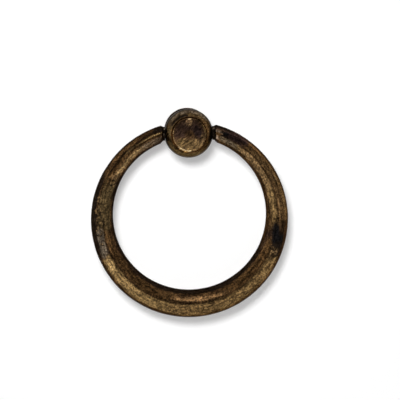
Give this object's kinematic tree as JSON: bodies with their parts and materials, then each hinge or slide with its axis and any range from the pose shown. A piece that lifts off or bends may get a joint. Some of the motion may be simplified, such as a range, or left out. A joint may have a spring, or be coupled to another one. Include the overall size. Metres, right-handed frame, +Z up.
{
  "type": "drop pull",
  "caption": "Round drop pull: a tapered ring that swings on pins in the sides of a small ball-shaped post, which is screwed to a drawer or door from behind.",
  "frame": {"origin": "centre of the screw hole's mouth, in the drawer face's plane", "axes": "+Y into the drawer front along the screw's axis, +Z up, -Y out towards the hand; the ring hangs along -Z"},
  "size_m": [0.0508, 0.0129, 0.0539],
  "materials": {
    "antique_brass": "antique brass: dark brown patina, rubbed back to gold on the worn front"
  },
  "bodies": {
    "post": {"post": "antique_brass"},
    "ring": {"ring": "antique_brass"}
  },
  "joints": [
    {"name": "ring_swing", "type": "hinge", "parent": "post", "child": "ring", "pos_m": [0, -0.0075, 0], "axis": [-1, 0, 0], "range_deg": [-5, 185]}
  ]
}
